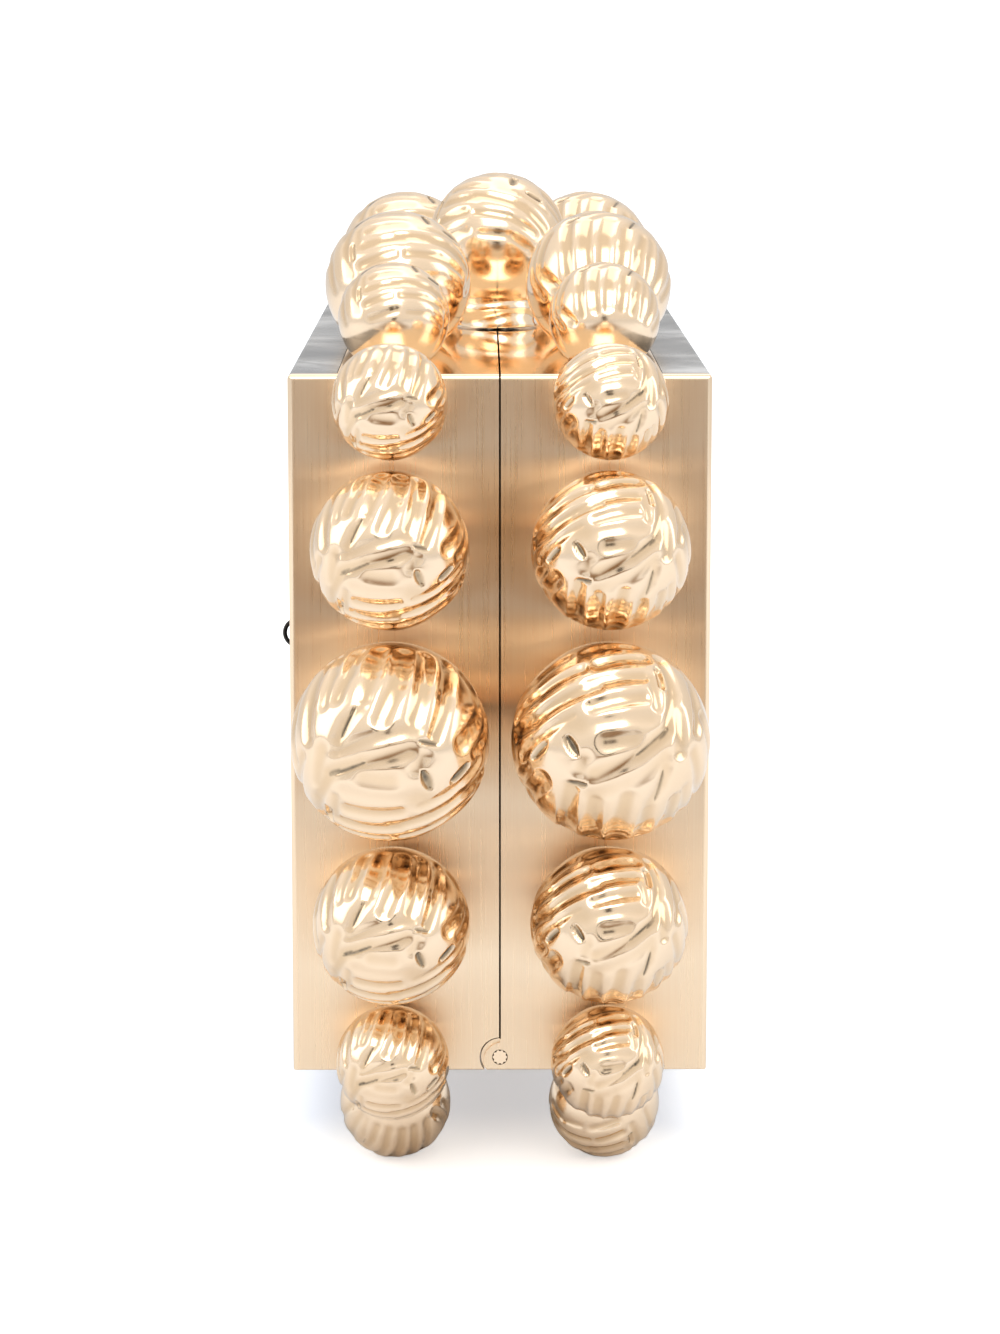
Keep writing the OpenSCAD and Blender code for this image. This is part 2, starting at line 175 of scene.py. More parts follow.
def makePaper(s):
    # roll of uncoated studio paper, swept flat: matt white with no visible grain
    r = s["reach"]
    mesh = bpy.data.meshes.new("studioFloor")
    mesh.from_pydata([(-r, -r, 0), (r, -r, 0), (r, r, 0), (-r, r, 0)], [], [(0, 1, 2, 3)])
    floor = putInScene(bpy.data.objects.new("studioFloor", mesh))
    material, tree, shader, place = newMaterial("matt white background paper")
    shader.inputs["Roughness"].default_value = s["roughness"]
    shader.inputs["Specular IOR Level"].default_value = s["gloss"]
    shader.inputs["Emission Color"].default_value = (1, 1, 1, 1)
    spot = addNode(tree, "ShaderNodeSeparateXYZ", links={"Vector": place.outputs["Object"]})
    along = addNode(tree, "ShaderNodeMath", {"operation": "ABSOLUTE"}, links={0: spot.outputs["X"]})
    across = addNode(tree, "ShaderNodeMath", {"operation": "ABSOLUTE"}, links={0: spot.outputs["Y"]})
    # the paper as the gold mirrors it, with painted shade in a darker brown in front of the bag
    before = addNode(tree, "ShaderNodeMapRange", softEdge,
                     {"From Min": s["tableFrom"][0], "From Max": s["tableFrom"][1]},
                     {"Value": spot.outputs["X"]})
    beside = addNode(tree, "ShaderNodeMapRange", softEdge,
                     {"From Min": s["tableSide"][0], "From Max": s["tableSide"][1],
                      "To Min": 1.0, "To Max": 0.0},
                     {"Value": across.outputs[0]})
    inFarShade = addNode(tree, "ShaderNodeMath", {"operation": "MULTIPLY"},
                      links={0: before.outputs["Result"], 1: beside.outputs["Result"]})
    mirrored = addNode(tree, "ShaderNodeMix", colourMix,
                       {6: linearColour(s["paper"]), 7: linearColour(s["table"])},
                       {0: inFarShade.outputs[0]})
    # the paper as the camera sees it: a glow is added, weaker under the bag, which paints the bag's shadow
    pastEnd = addNode(tree, "ShaderNodeMapRange", softEdge,
                      {"From Min": s["endEdge"][0], "From Max": s["endEdge"][1]},
                      {"Value": along.outputs[0]})
    pastSide = addNode(tree, "ShaderNodeMapRange", softEdge,
                       {"From Min": s["sideEdge"][0], "From Max": s["sideEdge"][1]},
                       {"Value": across.outputs[0]})
    clear = addNode(tree, "ShaderNodeMath", {"operation": "MAXIMUM"},
                    links={0: pastEnd.outputs["Result"], 1: pastSide.outputs["Result"]})
    seen = addNode(tree, "ShaderNodeMix", colourMix,
                   {6: linearColour(s["shadeSeen"]), 7: linearColour(s["openSeen"])},
                   {0: clear.outputs[0]})
    glowWithPaintedShade = addNode(tree, "ShaderNodeMix", numberMix, {2: s["shadeGlow"], 3: s["openGlow"]},
                     {0: clear.outputs[0]})
    ray = addNode(tree, "ShaderNodeLightPath")
    shown = addNode(tree, "ShaderNodeMix", colourMix,
                    links={0: ray.outputs["Is Camera Ray"], 6: mirrored.outputs[2], 7: seen.outputs[2]})
    glow = addNode(tree, "ShaderNodeMath", {"operation": "MULTIPLY"},
                   links={0: ray.outputs["Is Camera Ray"], 1: glowWithPaintedShade.outputs[0]})
    tree.links.new(shown.outputs[2], shader.inputs["Base Color"])
    tree.links.new(glow.outputs[0], shader.inputs["Emission Strength"])
    mesh.materials.append(material)


cameraBodySettings = {
    "place": (0.66, 0.0, 0.19),     # middle of the card
    "half": (0.055, 0.05),          # half its width and height
    "colour": "#101010", "sheen": "#3A3A38", "radiance": 1.0, "roughness": 0.9,
}


def makeCameraBody(s):
    # card in place of the camera's grained leatherette: matt dark grey with a dim painted glow, seen only
    # in the gold's pits
    (x, y, z), (w, h) = s["place"], s["half"]
    mesh = bpy.data.meshes.new("cameraBody")
    mesh.from_pydata([(x, y - w, z - h), (x, y + w, z - h), (x, y + w, z + h), (x, y - w, z + h)],
                     [], [(0, 1, 2, 3)])
    card = putInScene(bpy.data.objects.new("cameraBody", mesh))
    material, _, shader, _ = newMaterial("matt dark leatherette")
    shader.inputs["Roughness"].default_value = s["roughness"]
    shader.inputs["Base Color"].default_value = linearColour(s["colour"])
    # painted light: the card glows dimly so that its reflection keeps a fixed dark grey
    shader.inputs["Emission Color"].default_value = linearColour(s["sheen"])
    shader.inputs["Emission Strength"].default_value = s["radiance"]
    mesh.materials.append(material)
    for unseen in ("visible_camera", "visible_diffuse", "visible_shadow"):
        setattr(card, unseen, False)


softboxSettings = {
    # size, place and aim (m), radiance
    "keySoftbox": ((0.8, 0.75), (0.85, -0.04, 1.0), (0.05, 0.0, 0.09), 2.4),
    "topSoftbox": ((0.9, 0.7), (-0.35, 0.0, 1.1), (0.0, 0.0, 0.12), 0.8),
    "leftSoftbox": ((0.4, 0.6), (0.15, -0.8, 0.42), (0.05, 0.0, 0.08), 1.1),
    "rightSoftbox": ((0.4, 0.6), (0.15, 0.8, 0.42), (0.05, 0.0, 0.08), 1.1),
}


def makeSoftbox(name, size, place, aim, radiance):
    data = bpy.data.lights.new(name, "AREA")
    data.shape = "RECTANGLE"
    data.size, data.size_y = size
    data.energy = radiance * math.pi * size[0] * size[1]
    light = putInScene(bpy.data.objects.new(name, data))
    light.location = place
    light.rotation_euler = (Vector(aim) - Vector(place)).to_track_quat("-Z", "Y").to_euler()
    light.visible_camera = False


makeCamera(cameraSettings)
makeRoom(roomSettings)
makePaper(paperSettings)
makeCameraBody(cameraBodySettings)
for name, values in softboxSettings.items():
    makeSoftbox(name, *values)
view = bpy.context.scene.view_settings
view.view_transform, view.look, view.exposure = "Standard", "Medium High Contrast", -0.28
print("camera, lights and backdrop ready")


ballGoldSettings = {
    "colour": ("#FAE0C1", "#FBE3C6"),
    "tone": 11.11,                  # mm, patches of slightly thicker and thinner plating
    "roughness": (0.14, 0.20),
    "haze": 3.846,                  # mm, patches that the buffing wheel left duller
    "grain": 0.7143,                # mm; cast grain is about 0.1 mm, drawn coarser so that it shows
    "grainStrength": 0.05, "grainHeight": 0.0001,
    "groove": "#DCBB90",            # painted shade: darker, warmer gold down in the strokes
    "grooveDepth": (0.015, 0.048),  # ball radii, where that painted shade begins and is full
    "grooveShare": 0.5,
    "hollow": "#655F54",            # painted shade: dark grey in the pointed hollows
    "hollowPatch": (0.35, 0.6), "hollowLeast": 0.45,
}


def ballGoldMaterial(s):
    # gold-plated brass, lost-wax cast and wheel-polished: a clear warm mirror, with painted shade
    # that makes it deeper down in the strokes and dark in the few pointed hollows
    material, tree, shader, place = newMaterial("polished gold-plated cast brass")
    shader.inputs["Metallic"].default_value = 1.0
    tone = addNode(tree, "ShaderNodeTexNoise", inputs={"Scale": perMetre(s["tone"]), "Detail": 3.0},
                   links={"Vector": place.outputs["Object"]})
    colour = addNode(tree, "ShaderNodeValToRGB", links={"Fac": tone.outputs["Fac"]})
    setRamp(colour, zip((0.3, 0.7), s["colour"]))
    haze = addNode(tree, "ShaderNodeTexNoise", inputs={"Scale": perMetre(s["haze"]), "Detail": 4.0},
                   links={"Vector": place.outputs["Object"]})
    rough = addNode(tree, "ShaderNodeMapRange",
                    inputs={"From Min": 0.3, "From Max": 0.7,
                            "To Min": s["roughness"][0], "To Max": s["roughness"][1]},
                    links={"Value": haze.outputs["Fac"]})
    grain = addNode(tree, "ShaderNodeTexNoise", inputs={"Scale": perMetre(s["grain"]), "Detail": 2.0},
                    links={"Vector": place.outputs["Object"]})
    bump = addNode(tree, "ShaderNodeBump",
                   inputs={"Strength": s["grainStrength"], "Distance": s["grainHeight"]},
                   links={"Height": grain.outputs["Fac"]})
    gouge = addNode(tree, "ShaderNodeAttribute", {"attribute_name": "gouge"})
    groove = addNode(tree, "ShaderNodeMapRange", softEdge,
                     {"From Min": s["grooveDepth"][0], "From Max": s["grooveDepth"][1],
                      "To Max": s["grooveShare"]},
                     {"Value": gouge.outputs["Fac"]})
    grooveShaded = addNode(tree, "ShaderNodeMix", colourMix, {7: linearColour(s["groove"])},
                    {0: groove.outputs["Result"], 6: colour.outputs["Color"]})
    # painted shade in the pointed hollows, lighter in patches
    hollow = addNode(tree, "ShaderNodeAttribute", {"attribute_name": "hollow"})
    patch = addNode(tree, "ShaderNodeMapRange",
                    inputs={"From Min": s["hollowPatch"][0], "From Max": s["hollowPatch"][1],
                            "To Min": s["hollowLeast"], "To Max": 1.0},
                    links={"Value": haze.outputs["Fac"]})
    hollowShadeMask = addNode(tree, "ShaderNodeMath", {"operation": "MULTIPLY"},
                    links={0: hollow.outputs["Fac"], 1: patch.outputs["Result"]})
    hollowShaded = addNode(tree, "ShaderNodeMix", colourMix, {7: linearColour(s["hollow"])},
                     {0: hollowShadeMask.outputs[0], 6: grooveShaded.outputs[2]})
    tree.links.new(hollowShaded.outputs[2], shader.inputs["Base Color"])
    tree.links.new(rough.outputs["Result"], shader.inputs["Roughness"])
    tree.links.new(bump.outputs["Normal"], shader.inputs["Normal"])
    return material


frameGoldSettings = {
    "colour": ("#F7DCBC", "#FBE4C6"),
    "plate": 0.97,                  # how squarely a face looks along the bag to be an end plate
    "line": 0.3846,                 # mm; brush lines are about 0.05 mm wide, drawn coarser to show
    "lineStretch": 0.012,           # a line's width over its length
    "lineStrength": 0.08, "lineHeight": 0.00004,
    "brushed": (0.26, 0.32), "polished": (0.08, 0.12),
    "haze": 5.556,                  # mm, patches of the rails' polish
    "scatter": (0.03, 1.0, 0.05),   # across the lines, the way the gloss spreads
    "anisotropy": 1.0,
}


def frameGoldMaterial(s):
    # gold-plated brass sheet: end plates brushed upright with fine grit, which smears what they
    # mirror sideways, and the rails buffed to a clear gloss
    material, tree, shader, place = newMaterial("brushed and polished gold-plated brass")
    shader.inputs["Metallic"].default_value = 1.0
    shader.inputs["Anisotropic"].default_value = s["anisotropy"]
    split = addNode(tree, "ShaderNodeSeparateXYZ", links={"Vector": place.outputs["Normal"]})
    facing = addNode(tree, "ShaderNodeMath", {"operation": "ABSOLUTE"}, links={0: split.outputs["X"]})
    onPlate = addNode(tree, "ShaderNodeMath", {"operation": "GREATER_THAN"}, {1: s["plate"]},
                      {0: facing.outputs[0]})
    stretch = addNode(tree, "ShaderNodeMapping", inputs={"Scale": (1.0, 1.0, s["lineStretch"])},
                      links={"Vector": place.outputs["Object"]})
    lines = addNode(tree, "ShaderNodeTexNoise",
                    inputs={"Scale": perMetre(s["line"]), "Detail": 3.0, "Roughness": 0.6},
                    links={"Vector": stretch.outputs["Vector"]})
    height = addNode(tree, "ShaderNodeMath", {"operation": "MULTIPLY"},
                     links={0: lines.outputs["Fac"], 1: onPlate.outputs[0]})
    bump = addNode(tree, "ShaderNodeBump",
                   inputs={"Strength": s["lineStrength"], "Distance": s["lineHeight"]},
                   links={"Height": height.outputs[0]})
    brushed = addNode(tree, "ShaderNodeMapRange",
                      inputs={"From Min": 0.3, "From Max": 0.7,
                              "To Min": s["brushed"][0], "To Max": s["brushed"][1]},
                      links={"Value": lines.outputs["Fac"]})
    haze = addNode(tree, "ShaderNodeTexNoise", inputs={"Scale": perMetre(s["haze"]), "Detail": 3.0},
                   links={"Vector": place.outputs["Object"]})
    polished = addNode(tree, "ShaderNodeMapRange",
                       inputs={"From Min": 0.3, "From Max": 0.7,
                               "To Min": s["polished"][0], "To Max": s["polished"][1]},
                       links={"Value": haze.outputs["Fac"]})
    rough = addNode(tree, "ShaderNodeMix", numberMix,
                    links={0: onPlate.outputs[0], 2: polished.outputs["Result"],
                           3: brushed.outputs["Result"]})
    colour = addNode(tree, "ShaderNodeValToRGB", links={"Fac": lines.outputs["Fac"]})
    setRamp(colour, zip((0.25, 0.75), s["colour"]))
    scatter = addNode(tree, "ShaderNodeVectorTransform",
                      {"vector_type": "VECTOR", "convert_from": "OBJECT", "convert_to": "WORLD"},
                      {"Vector": s["scatter"]})
    tree.links.new(colour.outputs["Color"], shader.inputs["Base Color"])
    tree.links.new(rough.outputs[0], shader.inputs["Roughness"])
    tree.links.new(bump.outputs["Normal"], shader.inputs["Normal"])
    tree.links.new(scatter.outputs["Vector"], shader.inputs["Tangent"])
    return material


smallMetalSettings = {
    # colours, roughness, mm across a patch of the finish
    # rolled brass, die-cut and tumbled: soft yellow satin
    "satin brass": (("#D9B679", "#E6C68D"), (0.22, 0.34), 8.333),
    # turned steel, barrel-plated with zinc: cool pale satin
    "zinc-plated steel": (("#B4B6B8", "#CBCDCF"), (0.25, 0.38), 5.0),
    # bent nickel wire, oxidised in a bath: near black with a soft gloss
    "oxidised dark nickel": (("#3A3836", "#56524E"), (0.25, 0.4), 3.3333),
}
grainSettings = {"share": 6, "strength": 0.12, "height": 0.0001}      # their grain is a sixth of a patch


def smallMetalMaterial(name, colours, roughness, patch):
    material, tree, shader, place = newMaterial(name)
    shader.inputs["Metallic"].default_value = 1.0
    cloud = addNode(tree, "ShaderNodeTexNoise", inputs={"Scale": perMetre(patch), "Detail": 4.0},
                    links={"Vector": place.outputs["Object"]})
    colour = addNode(tree, "ShaderNodeValToRGB", links={"Fac": cloud.outputs["Fac"]})
    setRamp(colour, zip((0.3, 0.7), colours))
    rough = addNode(tree, "ShaderNodeMapRange",
                    inputs={"From Min": 0.3, "From Max": 0.7,
                            "To Min": roughness[0], "To Max": roughness[1]},
                    links={"Value": cloud.outputs["Fac"]})
    grain = addNode(tree, "ShaderNodeTexNoise",
                    inputs={"Scale": perMetre(patch / grainSettings["share"]), "Detail": 2.0},
                    links={"Vector": place.outputs["Object"]})
    bump = addNode(tree, "ShaderNodeBump",
                   inputs={"Strength": grainSettings["strength"], "Distance": grainSettings["height"]},
                   links={"Height": grain.outputs["Fac"]})
    tree.links.new(colour.outputs["Color"], shader.inputs["Base Color"])
    tree.links.new(rough.outputs["Result"], shader.inputs["Roughness"])
    tree.links.new(bump.outputs["Normal"], shader.inputs["Normal"])
    return material


panelSettings = {
    "greys": ((0.32, "#434343"), (0.45, "#707070"), (0.55, "#969696"), (0.68, "#C4C4C4")),
    "cloud": 19.23,                 # mm across one cloud of the marbling
    "swirl": 62.5, "swirlPush": 0.05,       # mm across one swirl, m that it drags the clouds along
    "lean": 28, "drawnOut": 0.45,           # degrees, and how far the clouds are drawn out upward
    "fold": 29.41,                  # mm from one thin dark fold to the next
    "foldWidth": 0.03, "foldShare": 0.55, "foldColour": "#4C4C4C",
    "foldBreak": (0.46, 0.62),      # where the folds fade out
    "roughness": (0.16, 0.3), "ripple": 0.15, "rippleHeight": 0.0002,
}


def panelMaterial(s):
    # cellulose acetate cut from a marbled block and polished: soft grey clouds with thin dark folds
    # under a smooth gloss
    material, tree, shader, place = newMaterial("grey marbled polished acetate")
    swirl = addNode(tree, "ShaderNodeTexNoise", inputs={"Scale": perMetre(s["swirl"]), "Detail": 2.0},
                    links={"Vector": place.outputs["Object"]})
    push = addNode(tree, "ShaderNodeVectorMath", {"operation": "MULTIPLY_ADD"},
                   {1: (s["swirlPush"],) * 3},
                   {0: swirl.outputs["Color"], 2: place.outputs["Object"]})
    drawn = addNode(tree, "ShaderNodeMapping",
                    inputs={"Rotation": (0.0, math.radians(s["lean"]), 0.0),
                            "Scale": (1.0, 1.0, s["drawnOut"])},
                    links={"Vector": push.outputs["Vector"]})
    cloud = addNode(tree, "ShaderNodeTexNoise",
                    inputs={"Scale": perMetre(s["cloud"]), "Detail": 5.0, "Roughness": 0.5},
                    links={"Vector": drawn.outputs["Vector"]})
    base = addNode(tree, "ShaderNodeValToRGB", links={"Fac": cloud.outputs["Fac"]})
    setRamp(base, s["greys"])
    fold = addNode(tree, "ShaderNodeTexNoise", inputs={"Scale": perMetre(s["fold"]), "Detail": 2.0},
                   links={"Vector": drawn.outputs["Vector"]})
    line = addNode(tree, "ShaderNodeMath", {"operation": "SUBTRACT"}, {1: 0.5},
                   {0: fold.outputs["Fac"]})
    near = addNode(tree, "ShaderNodeMath", {"operation": "ABSOLUTE"}, links={0: line.outputs[0]})
    vein = addNode(tree, "ShaderNodeMapRange", softEdge,
                   {"From Min": 0.0, "From Max": s["foldWidth"],
                    "To Min": s["foldShare"], "To Max": 0.0},
                   {"Value": near.outputs[0]})
    broken = addNode(tree, "ShaderNodeMapRange",
                     inputs={"From Min": s["foldBreak"][0], "From Max": s["foldBreak"][1]},
                     links={"Value": swirl.outputs["Fac"]})
    seen = addNode(tree, "ShaderNodeMath", {"operation": "MULTIPLY"},
                   links={0: vein.outputs["Result"], 1: broken.outputs["Result"]})
    colour = addNode(tree, "ShaderNodeMix", colourMix, {7: linearColour(s["foldColour"])},
                     {0: seen.outputs[0], 6: base.outputs["Color"]})
    rough = addNode(tree, "ShaderNodeMapRange",
                    inputs={"To Min": s["roughness"][0], "To Max": s["roughness"][1]},
                    links={"Value": cloud.outputs["Fac"]})
    bump = addNode(tree, "ShaderNodeBump",
                   inputs={"Strength": s["ripple"], "Distance": s["rippleHeight"]},
                   links={"Height": cloud.outputs["Fac"]})
    tree.links.new(colour.outputs[2], shader.inputs["Base Color"])
    tree.links.new(rough.outputs["Result"], shader.inputs["Roughness"])
    tree.links.new(bump.outputs["Normal"], shader.inputs["Normal"])
    return material


liningSettings = {
    "colour": ("#463A34", "#5E5047"),
    "patch": 16.667,                # mm, where the nap is stroked another way
    "nap": 0.4,                     # mm; a nap's fibres are about 0.1 mm, drawn coarser so that they show
    "napStrength": 0.5, "napHeight": 0.0003,
    "roughness": (0.8, 1.0), "gloss": 0.2,
    "sheen": 0.5, "sheenRoughness": 0.4,
}


def liningMaterial(s):
    # split leather, sueded and glued to a stiff tray: matt, with a soft nap that turns lighter in patches
    material, tree, shader, place = newMaterial("dark brown suede")
    shader.inputs["Sheen Weight"].default_value = s["sheen"]
    shader.inputs["Sheen Roughness"].default_value = s["sheenRoughness"]
    shader.inputs["Specular IOR Level"].default_value = s["gloss"]
    patch = addNode(tree, "ShaderNodeTexNoise", inputs={"Scale": perMetre(s["patch"]), "Detail": 5.0},
                    links={"Vector": place.outputs["Object"]})
    colour = addNode(tree, "ShaderNodeValToRGB", links={"Fac": patch.outputs["Fac"]})
    setRamp(colour, zip((0.3, 0.7), s["colour"]))
    nap = addNode(tree, "ShaderNodeTexNoise", inputs={"Scale": perMetre(s["nap"]), "Detail": 2.0},
                  links={"Vector": place.outputs["Object"]})
    rough = addNode(tree, "ShaderNodeMapRange",
                    inputs={"To Min": s["roughness"][0], "To Max": s["roughness"][1]},
                    links={"Value": nap.outputs["Fac"]})
    bump = addNode(tree, "ShaderNodeBump",
                   inputs={"Strength": s["napStrength"], "Distance": s["napHeight"]},
                   links={"Height": nap.outputs["Fac"]})
    tree.links.new(colour.outputs["Color"], shader.inputs["Base Color"])
    tree.links.new(rough.outputs["Result"], shader.inputs["Roughness"])
    tree.links.new(bump.outputs["Normal"], shader.inputs["Normal"])
    return material


ballGold = ballGoldMaterial(ballGoldSettings)
frameGold = frameGoldMaterial(frameGoldSettings)
innerBrass, fastenerSteel, ringNickel = [smallMetalMaterial(name, *values)
                                         for name, values in smallMetalSettings.items()]
panelGrey = panelMaterial(panelSettings)
suede = liningMaterial(liningSettings)

nodeFinish = {
    "front_frame": frameGold, "rear_frame": frameGold,
    "front_panel": panelGrey, "rear_panel": panelGrey,
    "front_liner": suede, "rear_liner": suede,
    "hinge_pin": ballGold, "clasp_collar": ballGold,
    "front_ball_studs": fastenerSteel, "rear_ball_studs": fastenerSteel,
    "front_ball_nuts": fastenerSteel, "rear_ball_nuts": fastenerSteel,
    "clasp_stem": fastenerSteel, "latch_nut": fastenerSteel,
    "latch_bridge": innerBrass, "bridge_rivets": innerBrass,
    "latch_arm": innerBrass, "latch_keeper": innerBrass,
    "ring_staple": ringNickel, "pull_ring": ringNickel,
}
for name, material in nodeFinish.items():
    for i in range(max(1, len(nodes[name].material_slots))):
        nodes[name].material_slots[i].material = material
print("materials ready")


# Strokes of the casting, the same on every ball. Each has its points, as degrees round the
# outward axis (0 is up) and degrees away from it, then its half width and depth in ball radii.
strokes = [
    # long flutes with round ends, all over the top side
    ([(-18, 80), (-27, 62), (-42, 50)], 0.100, 0.028),
    ([(-5, 77), (-11, 55), (-22, 40)], 0.105, 0.030),
    ([(9, 75), (7, 48), (-8, 24)], 0.115, 0.034),
    ([(22, 78), (27, 50), (34, 28)], 0.105, 0.034),
    ([(37, 83), (46, 54), (65, 32)], 0.110, 0.036),
    ([(47, 90), (70, 78), (81, 48)], 0.120, 0.036),
    ([(-30, 86), (-37, 68), (-52, 54)], 0.085, 0.020),
    ([(62, 97), (76, 84), (90, 59)], 0.085, 0.026),
    ([(-27, 36), (-50, 33), (-69, 32)], 0.095, 0.022),
    # long grooves along the rim of the left side
    ([(-37, 90), (-58, 66), (-78, 55)], 0.110, 0.026),
    ([(-50, 98), (-74, 80), (-98, 72)], 0.100, 0.026),
    ([(-84, 42), (-112, 50)], 0.110, 0.024),
    ([(-108, 38), (-124, 58), (-140, 80)], 0.095, 0.030),
    ([(-93, 60), (-112, 76), (-122, 92)], 0.095, 0.026),
    ([(-128, 42), (-142, 58)], 0.080, 0.024),
    # level grooves low down
    ([(-142, 42), (-168, 35), (168, 34)], 0.095, 0.030),
    ([(-147, 56), (-172, 49), (172, 48)], 0.095, 0.036),
    ([(-150, 72), (-178, 62)], 0.095, 0.040),
    ([(-157, 86), (176, 78)], 0.090, 0.030),
    ([(-133, 57), (-139, 67)], 0.060, 0.052),
    # long diagonal grooves at the lower right
    ([(178, 46), (150, 48), (122, 58), (106, 78)], 0.100, 0.040),
    ([(171, 62), (140, 66), (117, 80)], 0.080, 0.036),
    ([(147, 36), (122, 45), (97, 64)], 0.070, 0.022),
    ([(164, 80), (140, 82), (122, 94)], 0.080, 0.024),
    ([(96, 80), (112, 94)], 0.080, 0.020),
    # pods and dishes of the face
    ([(140, 34), (146, 30)], 0.170, 0.020),
    ([(84, 21), (106, 17)], 0.100, 0.020),
    ([(-106, 38), (-93, 14), (66, 14)], 0.120, 0.026),
    ([(-80, 31), (-18, 15), (42, 25)], 0.105, 0.018),
    ([(172, 12), (-128, 17)], 0.130, 0.024),
    ([(-126, 33), (157, 25)], 0.090, 0.014),
]
# pointed hollows between them, cut in and darkened with painted shade
hollows = [
    ([(-108, 39), (-93, 13)], 0.030, 0.034),
    ([(-106, 38), (-103, 30)], 0.040, 0.010),
    ([(-33, 37), (-64, 31)], 0.034, 0.030),
    ([(108, 22), (126, 32)], 0.080, 0.045),
    ([(98, 53), (112, 43)], 0.065, 0.040),
    ([(58, 22), (74, 31)], 0.045, 0.030),
]

ballSettings = {
    "cells": {"large": 80, "middle": 64, "small": 48},      # mesh cells along a quarter of the ball
    "deeper": 1.2,                  # depth of every stroke over its listed one
    "ridgeRound": 0.006,            # how soft the ridges between strokes are, in ball radii
    "ridgeLift": 0.7,               # share of that softness that deepens the ridge
    "strokeFade": 0.015,            # ball radii outside a stroke that it still draws on
    "pointed": 1.7, "pointLeast": 0.05,     # how fast a pointed hollow narrows, and its least share
    "darkFull": 1.2, "darkFall": 1.4,       # how far the painted shade of a hollow spreads to its edges
    "uneven": 0.004,                # slow unevenness of the hand-worked wax, in ball radii
    "waves": 9, "waveCount": (4.0, 9.0), "waveStart": 6.28,
    "seed": 11,
    "footFlat": 0.0016,             # radius of the flat that a foot stands on, m
}


def onBall(clock, lean):
    clock, lean = math.radians(clock), math.radians(lean)
    return np.array((math.cos(lean), math.sin(lean) * math.sin(clock), math.sin(lean) * math.cos(clock)))


def shortArcs(marks, deeper):
    # every stroke as short arcs on the unit ball: start, end, half width, depth
    arcs = []
    for points, half, depth in marks:
        spots = [onBall(*point) for point in points]
        arcs += [(a, b, half, depth * deeper) for a, b in zip(spots, spots[1:])]
    return arcs


def unevenness(unit, s):
    # a few long waves in fixed random directions
    dice = random.Random(s["seed"])
    rise = np.zeros(len(unit))
    for _ in range(s["waves"]):
        wave = np.array([dice.gauss(0, 1) for _ in range(3)])
        wave *= dice.uniform(*s["waveCount"]) / np.linalg.norm(wave)
        rise += np.sin(unit @ wave + dice.uniform(0, s["waveStart"])) / s["waves"] ** 0.5
    return rise * s["uneven"]


def arcDistance(unit, a, b, s, pointed=False):
    # angle from an arc; for a pointed one it grows toward the ends
    normal = np.cross(a, b)
    normal /= max(1e-9, np.linalg.norm(normal))
    beside = ((np.cross(a, unit) @ normal) > 0) & ((np.cross(unit, b) @ normal) > 0) & (unit @ (a + b) > 0)
    toEnd = np.maximum(unit @ a, unit @ b)
    distance = np.where(beside, np.arcsin(np.clip(np.abs(unit @ normal), 0, 1)),
                        np.arccos(np.clip(toEnd, -1, 1)))
    if pointed:
        middle = (a + b) / np.linalg.norm(a + b)
        along = np.arccos(np.clip(unit @ middle, -1, 1)) / np.arccos(np.clip(a @ b, -1, 1))
        distance = distance / np.sqrt(np.clip(1 - (s["pointed"] * along) ** 2, s["pointLeast"], 1))
    return distance


def gridBall(cells):
    # unit ball from a gridded cube, with the points along the cube's edges merged
    line = np.tan(np.linspace(-math.pi / 4, math.pi / 4, cells + 1))
    sides = [((1, 0, 0), (0, 1, 0), (0, 0, 1)), ((-1, 0, 0), (0, 0, 1), (0, 1, 0)),
             ((0, 1, 0), (0, 0, 1), (1, 0, 0)), ((0, -1, 0), (1, 0, 0), (0, 0, 1)),
             ((0, 0, 1), (1, 0, 0), (0, 1, 0)), ((0, 0, -1), (0, 1, 0), (1, 0, 0))]
    i, j = np.meshgrid(np.arange(cells), np.arange(cells), indexing="ij")
    points, faces = [], []
    for number, side in enumerate(sides):
        out, a, b = map(np.array, side)
        grid = out + a * line[:, None, None] + b * line[None, :, None]
        points.append((grid / np.linalg.norm(grid, axis=2, keepdims=True)).reshape(-1, 3))
        corner = number * (cells + 1) ** 2 + (i * (cells + 1) + j).ravel()
        faces.append(np.stack((corner, corner + cells + 1, corner + cells + 2, corner + 1), 1))
    points = np.concatenate(points)
    whole, index = np.unique(np.round(points, 7), axis=0, return_inverse=True)
    index = np.asarray(index).ravel()
    unit = np.zeros((len(whole), 3))
    unit[index] = points
    return unit, index[np.concatenate(faces)]


def castingMesh(name, cells, arcs, darkArcs, s):
    # how deep each point of the ball lies and how dark the painted shade of its hollow is, kept with the
    # mesh
    unit, quads = gridBall(cells)
    deep, dark = np.zeros(len(unit)), np.zeros(len(unit))
    soft = s["ridgeRound"]
    for i, (a, b, half, depth) in enumerate(arcs + darkArcs):
        cut = depth * (1 - (arcDistance(unit, a, b, s, i >= len(arcs)) / half) ** 2)
        near = cut > -s["strokeFade"]
        high, low = np.maximum(deep[near], cut[near]), np.minimum(deep[near], cut[near])
        deep[near] = high + soft * np.log1p(np.exp((low - high) / soft)) * s["ridgeLift"]
    # painted shade of the pointed hollows: how dark each point is drawn
    for a, b, half, _ in darkArcs:
        fall = s["darkFall"] * arcDistance(unit, a, b, s, True) / half
        dark = np.maximum(dark, np.clip(s["darkFull"] - fall, 0, 1))
    deep += unevenness(unit, s)
    deep -= deep.min()
    mesh = bpy.data.meshes.new(name)
    mesh.from_pydata(unit.tolist(), [], quads.tolist())
    for label, values in (("gouge", deep), ("hollow", dark)):
        mesh.attributes.new(label, "FLOAT", "POINT").data.foreach_set("value", values.astype(np.float32))
    return mesh


